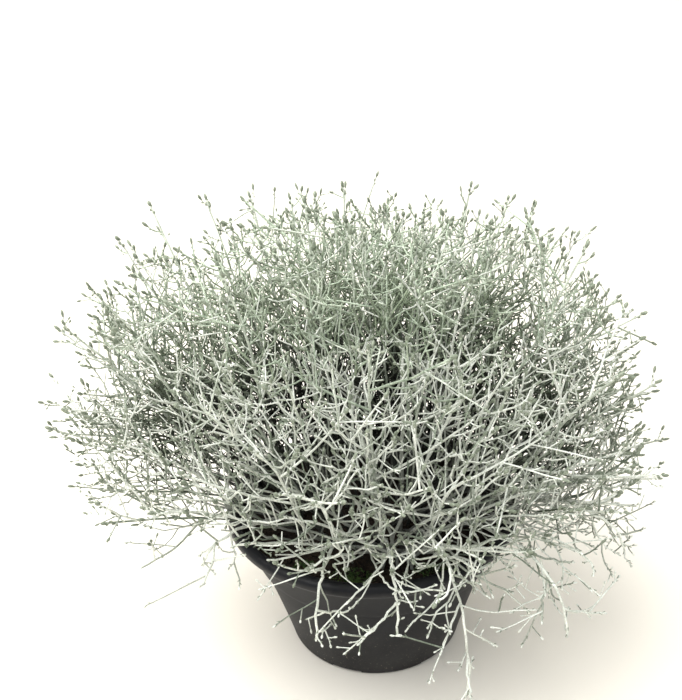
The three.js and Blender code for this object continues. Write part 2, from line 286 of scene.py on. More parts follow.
bottom = floor_thickness + gap
edge = soil_level - 0.003
profile = [(0, bottom), (inside_radius(bottom) - 0.005, bottom)]
profile += [(inside_radius(z) - gap, z) for z in (0.012, 0.03, 0.05, 0.0735, 0.09, edge)]
top_radius = inside_radius(edge) - gap - 0.0005
profile += [(top_radius * (46 - i) / 46, soil_level) for i in range(1, 47)]
soil = turned("soil_fill", profile, 144)
for vertex in soil.data.vertices:
    x, y, z = vertex.co
    if z > edge + 0.001:
        rough = noise.fractal(Vector((x, y, 0)) * 160, 0.6, 2.1, 4) * 0.0011
        lump = noise.noise(Vector((x, y, 7)) * 70) * 0.0012
        ease = min((top_radius - math.hypot(x, y)) / 0.006, 1)
        vertex.co.z = edge + (soil_top(x, y) + rough + lump - edge) * max(ease, 0.1)
soil.data.set_sharp_from_angle(angle=math.radians(60))


def gathered(name, count, add_one, batch=40):
    """One mesh of many small loose pieces, made a few at a time because that is quicker."""
    whole = bmesh.new()
    for start in range(0, count, batch):
        few = bmesh.new()
        for i in range(start, min(start + batch, count)):
            add_one(few)
        mesh = bpy.data.meshes.new(name)
        few.to_mesh(mesh)
        few.free()
        whole.from_mesh(mesh)
        bpy.data.meshes.remove(mesh)
    return whole


draw = draws_for(7001)


def add_crumb(crumbs):
    out = top_radius * 0.985 * math.sqrt(draw())
    heading = math.tau * draw()
    x, y = out * math.cos(heading), out * math.sin(heading)
    size = between(draw, 0.0006, 0.0019) * (1.6 if draw() > 0.93 else 1)
    stretch = between(draw, 1.0, 3.2) if draw() > 0.7 else between(draw, 0.8, 1.4)
    turn = Matrix.Rotation(math.tau * draw(), 4, "Z") @ Matrix.Rotation(between(draw, -0.4, 0.4), 4, "Y")
    shape = Matrix.Diagonal((size * stretch, size, size * between(draw, 0.5, 0.9), 1))
    spot = Matrix.Translation((x, y, soil_top(x, y) + size * 0.2))
    bmesh.ops.create_icosphere(crumbs, subdivisions=1, radius=1, matrix=spot @ turn @ shape)


crumbs = gathered("crumbs", crumb_count, add_crumb)
crumbs.from_mesh(soil.data)
crumbs.to_mesh(soil.data)
crumbs.free()

peat, shader, add, join, place = new_material("peat")
shader.inputs["Roughness"].default_value = 0.95
shader.inputs["Specular IOR Level"].default_value = 0.25
grit = add("ShaderNodeTexNoise", Scale=420.0, Detail=8.0, Roughness=0.7)
join(place, grit.inputs["Vector"])
brown = ramp_between(add, join, grit.outputs["Fac"], peat_dark, peat_light, (0.38, 0.72))
fleck = add("ShaderNodeTexVoronoi", Scale=330.0)
join(place, fleck.inputs["Vector"])
fleck_mask = add("ShaderNodeMapRange", **{"From Min": 0.16, "From Max": 0.1})
join(fleck.outputs["Distance"], fleck_mask.inputs["Value"])
fleck_part = add("ShaderNodeMath", operation="MULTIPLY")
join(fleck_mask.outputs["Result"], fleck_part.inputs[0])
fleck_part.inputs[1].default_value = 0.35
bark = add("ShaderNodeMix", data_type="RGBA")
join(fleck_part.outputs["Value"], bark.inputs["Factor"])
join(brown, bark.inputs["A"])
bark.inputs["B"].default_value = bark_colour
join(bark.outputs["Result"], shader.inputs["Base Color"])
bump = add("ShaderNodeBump", Strength=0.7, Distance=0.0008)
join(grit.outputs["Fac"], bump.inputs["Height"])
join(bump.outputs["Normal"], shader.inputs["Normal"])
soil.data.materials.clear()
soil.data.materials.append(peat)
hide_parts("soil")
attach(soil, "root")


# The moss. Small cushions of green shoots that have settled on the wet peat at the front.
moss_patches = [(-0.019, -0.083, 0.017), (0.044, -0.077, 0.019), (0.007, -0.092, 0.008),
                (-0.052, -0.068, 0.009)]
moss_shoots = 1600
moss_dark = (0.012, 0.040, 0.008)
moss_light = (0.085, 0.15, 0.030)

draw = draws_for(7002)


def add_moss_shoot(shoots):
    x0, y0, spread = moss_patches[min(int(draw() ** 1.6 * len(moss_patches)), len(moss_patches) - 1)]
    out = spread * draw() ** 0.7
    heading = math.tau * draw()
    x, y = x0 + out * math.cos(heading), y0 + out * math.sin(heading) * 0.7
    if math.hypot(x, y) > top_radius - 0.001:
        return
    height = between(draw, 0.0014, 0.0034) * (1.1 - 0.6 * out / spread)
    lean = Matrix.Rotation(between(draw, -0.6, 0.6), 4, "X")
    lean = lean @ Matrix.Rotation(between(draw, -0.6, 0.6), 4, "Y")
    spot = Matrix.Translation((x, y, soil_top(x, y) + height * 0.3))
    bmesh.ops.create_cone(shoots, cap_ends=True, segments=3, radius1=0.0005, radius2=0, depth=height,
                          matrix=spot @ lean)


shoots = gathered("moss_shoots", moss_shoots, add_moss_shoot)
moss_mesh = bpy.data.meshes.new("moss")
shoots.to_mesh(moss_mesh)
shoots.free()
moss = bpy.data.objects.new("moss", moss_mesh)
bpy.context.scene.collection.objects.link(moss)

green, shader, add, join, place = new_material("moss_green")
shader.inputs["Roughness"].default_value = 0.8
blotch = add("ShaderNodeTexNoise", Scale=180.0, Detail=4.0)
join(place, blotch.inputs["Vector"])
leaf = ramp_between(add, join, blotch.outputs["Fac"], moss_dark, moss_light, (0.3, 0.7))
join(leaf, shader.inputs["Base Color"])
moss.data.materials.append(green)
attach(moss, "root")


# The bush. Wiry stems felted silver-white, that leave the soil at a slant and bend up. Each
# carries side branches at wide angles, and those carry twigs that end in small grey-green buds.
root_depth = 0.022
stem_rise = 0.004
steepest_lean = 1.05
rim_crest = 0.034
stem_thickness = 0.0029
stem_tip_thickness = 0.0015
branch_thickness = 0.0017
branch_tip_thickness = 0.0012
twig_thickness = 0.00125
middle = Vector((0, 0, 0.168))
reach_left, reach_right = 0.235, 0.212
reach_front, reach_back = 0.160, 0.183
reach_up, reach_down_left, reach_down_right = 0.180, 0.038, 0.066
squareness = 2.8
longest_tip = 1.06
dome_stem_count = 18
root_spread = 0.062
golden_angle = math.pi * (3 - math.sqrt(5))
first_heading = 2.885
lowest_dome_stem = 1.2
front_stems_rise = 0.2
low_stems = [(-67, 0.146, 0.044, 5), (-46, 0.176, 0.084, 5), (-86, 0.134, 0.098, 4),
             (-108, 0.140, 0.096, 3), (-141, 0.152, 0.130, 2), (-22, 0.190, 0.106, 4)]
branches_on_dome_stem = 6
branch_zone = (0.36, 0.94)
branch_length = (0.076, 0.106)
branch_length_on_low_stem = (0.034, 0.060)
deepest_droop = 0.012
twig_zone_on_branch = (0.3, 0.94)
twig_zone_on_stem = (0.66, 0.94)
twig_length = (0.022, 0.042)
bud_length = 0.0055
tries = 8


def headed(heading, from_up):
    flat = math.sin(from_up)
    return Vector((flat * math.cos(heading), flat * math.sin(heading), math.cos(from_up)))


def sideways(point):
    """How far out to the sides a point is: 1 on the cushion's outline from above."""
    x, y, _ = point
    return math.hypot(x / (reach_left if x < 0 else reach_right), y / (reach_front if y < 0 else reach_back))


def fullness(point):
    """How far out in the cushion a point is: 1 on its outer skin, 0 at its middle."""
    z = point.z - middle.z
    down = reach_down_left if point.x < 0 else reach_down_right
    upright = abs(z) / (down if z < 0 else reach_up)
    return (sideways(point) ** squareness + upright ** squareness) ** (1 / squareness)


def bezier(a, b, c, d, steps):
    line = []
    for i in range(steps + 1):
        t = i / steps
        s = 1 - t
        line.append(a * s ** 3 + b * 3 * s * s * t + c * 3 * s * t * t + d * t ** 3)
    return line


def stem_foot(x, y):
    height = soil_top(x, y)
    return Vector((x, y, height - root_depth)), Vector((x, y, height + stem_rise))


def stem_line(heading, spread, tip, tilt, steps=5):
    """A stem from the soil to its tip: it leaves at a slant and bends up."""
    bottom, start = stem_foot(spread * math.cos(heading), spread * math.sin(heading))
    length = (tip - start).length
    leave = headed(heading, min(tilt * 1.15 + 0.12, steepest_lean))
    arrive = headed(heading, tilt * (0.45 + 0.25 * tilt))
    return [bottom] + bezier(start, start + leave * length * 0.38, tip - arrive * length * 0.36, tip, steps)


def dome_line(index):
    """Middle line of a main stem that rises through the cushion."""
    draw = draws_for(index)
    from_up = math.acos(1 - (index + 0.4) * lowest_dome_stem / dome_stem_count)
    heading = index * golden_angle + first_heading
    front = max(-math.sin(heading), 0)
    tilt = from_up * (1 - front_stems_rise * front ** 2)
    way = headed(heading + between(draw, -0.08, 0.08), tilt)
    reach = between(draw, 0.9, 1) / fullness(way + middle)
    return stem_line(heading, root_spread * (0.14 + 0.86 * math.sin(tilt)), way * reach + middle, tilt)


def low_line(heading, out, height, crest=pot_height + rim_crest, spread=root_spread * 0.82):
    """Middle line of a stem that leans out low, crosses the rim and hangs down outside it."""
    angle = math.radians(heading)

    def around(radius, z):
        return Vector((radius * math.cos(angle), radius * math.sin(angle), z))

    bottom, start = stem_foot(spread * math.cos(angle), spread * math.sin(angle))
    over_rim = around(rim_radius * 0.72, crest)
    return [bottom] + bezier(start, over_rim, around(out, crest), around(out, height), 6)


def along(line, part):
    """A point and a heading part of the way along a line."""
    place = part * (len(line) - 1)
    i = min(int(place), len(line) - 2)
    return line[i].lerp(line[i + 1], place - i), (line[i + 1] - line[i]).normalized()


def shoot_line(carrier, part, turn, angle, length, steps, lift=0.5):
    """Middle line of a side shoot: it leaves its carrier at a wide angle and bends up and out."""
    point, way = along(carrier, part)
    across = Vector((-way.y, way.x, 0.01)).normalized()
    side = Matrix.Rotation(turn, 3, way) @ across
    heading = way * math.cos(angle) + side * math.sin(angle)
    line = [point]
    pull = Vector((point.x, point.y, 0)).normalized() * 0.5 + Vector((0, 0, 1))
    for _ in range(steps):
        line.append(line[-1] + heading * (length / steps))
        heading = (heading + pull * (lift / steps)).normalized()
    return line


floor_clearance = 0.012
rim_clearance = 0.0015
clearance_above = 0.001
slim_radius = 0.001


def off_pot(point, radius):
    """Whether a point stays clear of the floor, the pot and the soil."""
    out = math.hypot(point.x, point.y)
    if point.z < floor_clearance:
        return False
    if out > rim_radius + radius + rim_clearance:
        return True
    if out > rim_radius - lip_width - radius - rim_clearance:
        return point.z > pot_height + radius + clearance_above
    return point.z > soil_top(point.x, point.y) + radius + clearance_above


def is_free(line, radius):
    return all(off_pot(a.lerp(b, part), radius) for a, b in zip(line, line[1:]) for part in (0.5, 1))


ends = []


def take(line):
    """Notes where a line and its bud end, so that later shoots keep their distance."""
    way = (line[-1] - line[-2]).normalized()
    bud = [line[-1] + way * bud_length * 0.45, line[-1] + way * bud_length]
    ends.extend(tuple(point) for point in line[1:] + bud)
    return line


def settled(make, radius, low):
    """Of the lines that a rule draws, the clear one whose tip has the most room."""
    best, most = None, 0
    known = numpy.array(ends)
    for again in range(tries):
        line = make(again)
        tip = line[-1]
        if (sideways(tip) if low else fullness(tip)) > longest_tip:
            continue
        if (low and tip.z < low[2] - deepest_droop) or not is_free(line, radius):
            continue
        room = numpy.sqrt(((known - numpy.array(tip)) ** 2).sum(1)).min()
        if room > most:
            best, most = line, room
    return take(best) if best else None


def rounded(line, pieces, wobble, draw):
    """A smooth line through the points of another, with small bends of its own."""
    smooth = [line[0].copy()]
    for i in range(len(line) - 1):
        a = line[max(i - 1, 0)]
        b, c = line[i], line[i + 1]
        d = line[min(i + 2, len(line) - 1)]
        for j in range(1, pieces + 1):
            t = j / pieces
            point = 0.5 * (2 * b + (c - a) * t + (2 * a - 5 * b + 4 * c - d) * t * t
                           + (3 * b - a - 3 * c + d) * t ** 3)
            if j < pieces or i < len(line) - 2:
                point += Vector((draw() - 0.5, draw() - 0.5, draw() - 0.5)) * 2 * wobble
            smooth.append(point)
    return smooth


def solid_branches(index, line, low):
    """The branches of one packed stem, as its solid draws them."""
    count = low[3] if low else branches_on_dome_stem
    lengths = branch_length_on_low_stem if low else branch_length
    for i in range(count):
        def make(again):
            draw = draws_for(index, i, again)
            first, last = branch_zone
            part = first + (last - first) * (i + between(draw, 0.2, 0.8)) / count
            turn = between(draw, 0, math.tau)
            length = between(draw, *lengths) * (1.45 - 0.95 * part)
            return shoot_line(line, part, turn, between(draw, 0.75, 1.15), length, 2)
        yield settled(make, branch_thickness / 2, low)


def solid_twigs(numbers, carrier, count, zone, low):
    """The twigs of one carrier, as its solid draws them."""
    for i in range(count):
        def make(again):
            draw = draws_for(*numbers, i, again)
            part = zone[0] + (zone[1] - zone[0]) * (i + between(draw, 0.1, 0.9)) / count
            turn = between(draw, 0, math.tau)
            length = between(draw, *twig_length)
            return shoot_line(carrier, part, turn, between(draw, 0.8, 1.2), length, 1)
        yield settled(make, twig_thickness / 2, low)


# How crowded the cushion is: metres of shoot in each small cube of it, and the most that one may
# hold. It holds less on its skin, less still over the front of the pot and low on the left.
cell = 0.012
most_inside = 0.032
more_further_out = 0.012
thinned_on_skin = 0.64
left_over_pot = 0.04
left_low_on_left = 0.4
left_in_front = 0.58
crowd = {}


def cells_along(line):
    for a, b in zip(line, line[1:]):
        length = (b - a).length
        pieces = max(int(length / 0.005), 1)
        for i in range(pieces):
            x, y, z = a.lerp(b, (i + 0.5) / pieces)
            yield (int(x // cell), int(y // cell), int(z // cell)), length / pieces


def fill(line):
    for cube, length in cells_along(line):
        crowd[cube] = crowd.get(cube, 0) + length


def share_past(value, start, width):
    """How far a value has come through a range that begins at start: 0 before it, 1 past it."""
    return min(max((value - start) / width, 0), 1)


def crowding(line):
    """How full the cubes that a line passes are, as a share of what they may hold."""
    total, count = 0, 0
    for cube, length in cells_along(line):
        total += crowd.get(cube, 0)
        count += 1
    point = line[-1]
    full = fullness(point)
    most = most_inside + more_further_out * share_past(full, 0.35, 0.3)
    most *= 1 - thinned_on_skin * share_past(full, 0.74, 0.24)
    in_rim = math.hypot(point.x, point.y) < rim_radius + 0.004
    over_pot = in_rim and point.y < 0.04 and point.z < 0.215
    low_on_left = point.x < -0.06 and point.y < 0.03 and point.z < 0.165
    in_front = point.y < -0.04 and point.z < 0.27 and abs(point.x) < 0.16
    if over_pot:
        most *= left_over_pot + (1 - left_over_pot) * share_past(point.z, 0.155, 0.060)
    elif low_on_left:
        most *= left_low_on_left
    if in_front:
        most *= left_in_front
    return total / count / most


leader_kind, branch_kind, twig_kind, tip_kind = range(4)
knot_wobble = 0.07
shoot_taper = 0.82


def grow(shoots, draw, carrier, low, kind, spacing, first, lengths, thickness, steps, lift, fullest):
    """Side shoots at the knots of a carrier, where the cushion still has room for them."""
    length = sum((b - a).length for a, b in zip(carrier, carrier[1:]))
    count = int(length * (1 - first) / spacing + draw())
    start = between(draw, 0, 6)
    for i in range(count):
        part = min(first + (1 - first) * (i + between(draw, 0.15, 0.85)) / count, 0.985)
        turn = start + i * golden_angle + between(draw, -0.5, 0.5)
        angle = between(draw, 0.75, 1.25)
        reach = between(draw, *lengths) * (1.15 - 0.6 * part)
        shoot = shoot_line(carrier, part, turn, angle, reach, steps, lift)
        for point in shoot[1:]:
            point += Vector((draw() - 0.5, draw() - 0.5, draw() - 0.5)) * knot_wobble * reach
        luck = draw()
        out = sideways(shoot[-1]) if low else fullness(shoot[-1])
        if out > fullest or crowding(shoot) > 0.55 + 0.7 * luck or not is_free(shoot, thickness / 2):
            continue
        fill(shoot)
        shoots.append((shoot, thickness, thickness * shoot_taper, kind))


low_stem_bends = 0.0010
small_bends = 0.0004
leader_bends = 0.0007
stem_plans = [(take(dome_line(i)), None) for i in range(dome_stem_count)]
stem_plans += [(take(low_line(*low[:3])), low) for low in low_stems]
all_branches = [list(filter(None, solid_branches(i, line, low)))
                for i, (line, low) in enumerate(stem_plans)]
sprays = []
for i, (line, low) in enumerate(stem_plans):
    draw = draws_for(i, 900)
    twigs = [twig for j, branch in enumerate(all_branches[i])
             for twig in solid_twigs((i, j + 50), branch, 2, twig_zone_on_branch, low) if twig]
    twigs += [twig for twig in solid_twigs((i, 99), line, 1, twig_zone_on_stem, low) if twig]
    bends = low_stem_bends if low else small_bends
    spray = [(rounded(line, 4, bends, draw), stem_thickness, stem_tip_thickness, leader_kind)]
    spray += [(rounded(branch, 4, bends, draw), branch_thickness, branch_tip_thickness, branch_kind)
              for branch in all_branches[i]]
    spray += [(rounded(twig, 3, small_bends, draw), twig_thickness, twig_thickness * 0.8, twig_kind)
              for twig in twigs]
    sprays.append(spray)

# Thinner stems of the same crown beside each main stem, that fill the room between their tips.
side_stem_count = 4
low_side_stem_count = 6
sparse_heading = -80
side_stem_tries = 10
side_stem_bends = 0.0006
side_stem_thickness = (0.0014, 0.0022)
side_stem_tip_thickness = 0.00125
tip_spread = 0.085
leader_tips = [line[-1] for line, _ in stem_plans]


def rising_stem(tip, foot_share, draw):
    """A stem that rises from the crown to a tip, from a foot on the same side of the soil."""
    way = tip - middle
    heading = math.atan2(way.y, way.x) + between(draw, -0.3, 0.3)
    tilt = way.angle(Vector((0, 0, 1)))
    return stem_line(heading, root_spread * (0.14 + 0.86 * math.sin(tilt)) * foot_share, tip, tilt)


for i, (line, low) in enumerate(stem_plans):
    draw = draws_for(i, 555)
    count = side_stem_count
    if low:
        count = low_side_stem_count if low[0] > sparse_heading else 1
    for k in range(count):
        best, most = None, 0
        for again in range(side_stem_tries):
            if low:
                heading, out, height, _ = low
                heading += between(draw, -22, 22)
                other = low_line(heading, between(draw, 0.085, out), between(draw, max(height, 0.1), 0.170),
                                 between(draw, 0.128, 0.160), between(draw, 0.03, 0.07))
                swing = between(draw, -0.5, 0.5)
                other = [Matrix.Rotation(swing * (j / len(other)) ** 2, 3, "Z") @ point
                         for j, point in enumerate(other)]
            else:
                aside = Vector((between(draw, -1, 1), between(draw, -1, 1), between(draw, -1, 1)))
                way = line[-1] + aside * tip_spread - middle
                reach = (1 - 0.3 * draw() ** 2) / fullness(way + middle)
                other = rising_stem(way * reach + middle, between(draw, 0.5, 1.3), draw)
            room = min((other[-1] - tip).length for tip in leader_tips)
            if room > most and is_free(other[1:], slim_radius):
                best, most = other, room
        if best:
            leader_tips.append(best[-1])
            sprays[i].append((rounded(best, 4, side_stem_bends, draw), between(draw, *side_stem_thickness),
                              side_stem_tip_thickness, leader_kind))

# The leaders that stand out along the top and the sides of the cushion, and those that close its
# crown.
tall_stem_thickness = 0.0021
tall_stem_tip_thickness = 0.0013
tall_tips = [(-0.231, -0.010, 0.214), (-0.219, 0.000, 0.266), (-0.195, 0.010, 0.292), (-0.176, 0.030, 0.322),
             (-0.150, 0.030, 0.346), (-0.113, 0.050, 0.344), (-0.082, 0.060, 0.342), (-0.053, 0.070, 0.337),
             (-0.013, 0.060, 0.347), (0.015, 0.080, 0.321), (0.049, 0.070, 0.327), (0.082, 0.060, 0.343),
             (0.110, 0.060, 0.332), (0.128, 0.050, 0.328), (0.158, 0.040, 0.307), (0.176, 0.020, 0.268),
             (0.193, 0.000, 0.236), (0.199, -0.010, 0.200), (0.215, -0.020, 0.167), (0.204, -0.040, 0.147),
             (-0.212, -0.030, 0.193), (-0.190, -0.050, 0.163)]
crown_tips = [(0.000, 0.000, 0.322), (0.036, 0.004, 0.316), (-0.036, -0.004, 0.318), (0.010, -0.036, 0.300),
              (0.062, -0.022, 0.302), (-0.020, 0.032, 0.332), (0.030, 0.040, 0.328), (-0.062, 0.002, 0.316),
              (0.082, 0.022, 0.318), (-0.032, -0.052, 0.290), (-0.004, 0.012, 0.300), (0.020, 0.020, 0.305)]
draw = draws_for(31)
for tip in tall_tips + crown_tips:
    tip = Vector(tip)
    near = min(range(dome_stem_count), key=lambda i: (stem_plans[i][0][-1] - tip).length)
    line = rising_stem(tip, between(draw, 0.7, 1.2), draw)
    if is_free(line[2:], slim_radius):
        sprays[near].append((rounded(line, 4, leader_bends, draw), tall_stem_thickness,
                             tall_stem_tip_thickness, leader_kind))

# A fan of old, white stems from a crown close to the front of the rim, and one that stands upright.
fan_crown = (0.015, -0.067)
fan_thickness = 0.0026
fan_tip_thickness = 0.0016
upright_stem = 10
upright_thickness = 0.0032
fan = [(-0.030, -0.120, 0.215), (0.000, -0.125, 0.200), (0.075, -0.115, 0.205), (-0.060, -0.118, 0.180),
       (0.110, -0.105, 0.185), (0.045, -0.128, 0.185), (-0.085, -0.090, 0.200), (0.125, -0.070, 0.215),
       (-0.015, -0.100, 0.245), (0.055, -0.095, 0.250), (0.020, -0.072, 0.273), (-0.095, -0.105, 0.150),
       (0.095, -0.125, 0.150), (0.020, -0.135, 0.155), (-0.045, -0.130, 0.150), (0.060, -0.134, 0.145)]
draw = draws_for(32)
for i, tip in enumerate(fan):
    tip = Vector(tip)
    x, y = fan_crown[0] + between(draw, -0.014, 0.014), fan_crown[1] + between(draw, -0.008, 0.012)
    bottom, start = stem_foot(x, y)
    way = tip - start
    flat = Vector((way.x, way.y, 0))
    leave, arrive = start + way * 0.35 - flat * 0.06, tip - way * 0.3 + Vector((0, 0, 0.01))
    line = [bottom] + bezier(start, leave, arrive, tip, 6)
    near = dome_stem_count + (2 if tip.x < 0.03 else 0)
    if is_free(line[1:], slim_radius):
        thickness = upright_thickness if i == upright_stem else fan_thickness
        sprays[near].append((rounded(line, 4, leader_bends, draw), thickness, fan_tip_thickness, leader_kind))
for spray in sprays:
    for line, _, _, _ in spray:
        fill(line)

# Then branches on all stems, twigs on all branches and the short shoots of their tips. Each rule
# names the carrier and the shoot, the distance between knots, where on the carrier they begin, the
# shoot's lengths, thickness, knots and lift, and how far out in the cushion it may end.
low_end = 0.13
growth = [(leader_kind, branch_kind, 0.011, 0.20, (0.035, 0.085), 0.0014, 4, 1.1, 0.95),
          (branch_kind, twig_kind, 0.0095, 0.14, (0.014, 0.034), 0.00112, 3, 1.0, 0.96),
          (leader_kind, twig_kind, 0.009, 0.45, (0.008, 0.028), 0.00112, 3, 1.1, 1.06),
          (twig_kind, tip_kind, 0.0085, 0.2, (0.006, 0.014), 0.00095, 1, 0.3, 1.0)]
low_growth = [(leader_kind, twig_kind, 0.010, 0.5, (0.008, 0.024), 0.0012, 3, 1.0, 1.0),
              (branch_kind, twig_kind, 0.009, 0.3, (0.006, 0.018), 0.0012, 3, 1.0, 1.0),
              (twig_kind, tip_kind, 0.006, 0.3, (0.003, 0.008), 0.00105, 2, 0.8, 1.0)]
for rule in growth + low_growth:
    carrier_kind, kind = rule[:2]
    for i, spray in enumerate(sprays):
        draw = draws_for(i, kind, carrier_kind, 444)
        low = i >= dome_stem_count
        for carrier, _, _, of_kind in list(spray):
            if of_kind == carrier_kind and (rule in growth or carrier[-1].z < low_end):
                grow(spray, draw, carrier, low, *rule[1:])


def tube_mesh(lines, sides_more):
    """Round tubes along lines, each with its radius at every point and its finish."""
    curve = bpy.data.curves.new("tubes", "CURVE")
    curve.dimensions = "3D"
    curve.bevel_depth = 1
    curve.bevel_resolution = sides_more
    curve.use_fill_caps = True
    for finish in finishes:
        curve.materials.append(finish)
    for line, radii, finish in lines:
        spline = curve.splines.new("POLY")
        spline.points.add(len(line) - 1)
        spline.material_index = finish
        for point, place, radius in zip(spline.points, line, radii):
            point.co = (*place, 1)
            point.radius = radius
    holder = bpy.data.objects.new("tubes", curve)
    bpy.context.scene.collection.objects.link(holder)
    mesh = bpy.data.meshes.new_from_object(holder.evaluated_get(bpy.context.evaluated_depsgraph_get()))
    bpy.data.objects.remove(holder)
    return mesh


def tapered(line, foot, neck):
    last = len(line) - 1
    return [(foot + (neck - foot) * i / last) / 2 for i in range(last + 1)]


stem_finish, pale_finish, green_finish, painted_shade_finish, bud_finish = range(5)
bud_shape = [(-0.12, 0.30), (0.22, 0.86), (0.58, 1.0), (0.88, 0.62), (1.0, 0.25)]
bud_lengths = (0.0036, 0.0056)
bud_radii = (0.00095, 0.0013)
small_bud = (0.6, 0.72)
leader_bud_width = 1.25
side_bud_count = 3
side_bud_spacing = 0.0026
side_bud_width = 0.8
leaf_count = 3
leaf_spacing = 0.0027
leaf_length = 0.0019
leaf_spread = 0.0011
hanging_below = 0.15


def bud(root, way, long, wide, shape, finish):
    """The middle line, radii and finish of one club-shaped bud."""
    return [root + way * long * far for far, _ in shape], [wide * part for _, part in shape], finish


def tip_buds(line, kind, full, draw):
    """The buds on the end of a shoot: one on a twig, and a close bunch on a leader in the light."""
    way = (line[-1] - line[-2]).normalized()
    shape = bud_shape if full > 0.85 else bud_shape[::2]
    low = line[-1].z < hanging_below
    small = kind == tip_kind or low
    leading = kind in (leader_kind, branch_kind)
    long = between(draw, *bud_lengths) * (small_bud[0] if small else 1)
    wide = between(draw, *bud_radii) * (small_bud[1] if small else leader_bud_width if leading else 1)
    finish = stem_finish if low else bud_finish
    buds = [bud(line[-1], way, long, wide, shape, finish)]
    if leading and full > 0.8 and not small:
        across = way.orthogonal().normalized()
        for k in range(side_bud_count):
            side = Matrix.Rotation(k * golden_angle + draw(), 3, way) @ across
            lean = (way + side * between(draw, 0.4, 0.9)).normalized()
            root = line[-1] - way * side_bud_spacing * (k + 0.4)
            short = long * between(draw, 0.5, 0.85)
            buds.append(bud(root, lean, short, wide * side_bud_width, bud_shape[::2], finish))
    return buds


def pressed_leaves(line, draw):
    """Tiny scale leaves that stand close along the end of a shoot."""
    leaves = []
    way = (line[-1] - line[-2]).normalized()
    across = way.orthogonal().normalized()
    for k in range(leaf_count):
        side = Matrix.Rotation(k * golden_angle + draw(), 3, way) @ across
        root = line[-1] - way * (0.0006 + leaf_spacing * k) + side * 0.0003
        tip = root + way * leaf_length + side * leaf_spread
        leaves.append(([root, tip], [0.00048, 0.00016], bud_finish))
    return leaves


def finish_for(kind, low, full, luck):
    """White felt on stems and on low shoots, and paler and greener twigs; deeper in the cushion there are
    fewer white and pale ones, and deep inside mostly the dark shaded finish, as painted shade.
    """
    if kind == leader_kind:
        return stem_finish if low or luck < 0.3 else pale_finish if full < 0.8 else green_finish
    if low:
        white, pale = 0.62, 0.86
    # Painted shade: the deeper a shoot is in the cushion, the darker the finishes it gets.
    elif full < 0.74:
        return painted_shade_finish if luck < 0.8 else green_finish
    elif full < 0.88:
        white, pale = 0.16, 0.4
    else:
        white, pale = 0.22, 0.62
    return stem_finish if luck < white else pale_finish if luck < pale else green_finish


def spray_piece(name, lines, draw):
    """One object: tubes along all lines of a stem, with buds and pressed leaves on the outer ones."""
    thick, thin = [], []
    for line, foot, neck, kind in lines:
        low = line[-1].z < hanging_below or (line[0].y < -0.04 and line[-1].z < 0.28)
        finish = finish_for(kind, low, fullness(line[len(line) // 2]), draw())
        (thick if foot > 0.0016 else thin).append((line, tapered(line, foot, neck), finish))
        full = fullness(line[-1])
        if draw() < (1 if full > 0.88 or kind == leader_kind else 0.4):
            thin += tip_buds(line, kind, full, draw)
        if full > 0.8 and kind != tip_kind:
            thin += pressed_leaves(line, draw)
    shape = bmesh.new()
    for mesh in (tube_mesh(thick, 1), tube_mesh(thin, 0)):
        shape.from_mesh(mesh)
        bpy.data.meshes.remove(mesh)
    mesh = bpy.data.meshes.new(name)
    shape.to_mesh(mesh)
    shape.free()
    piece = bpy.data.objects.new(name, mesh)
    bpy.context.scene.collection.objects.link(piece)
    return piece


# The finishes. Within an ellipsoid around the middle of the cushion the colour is darkened as painted shade,
# where shade falls among the stems.
painted_shade_middle = Vector((0, 0.03, 0.12))
painted_shade_reach = Vector((0.20, 0.15, 0.165))


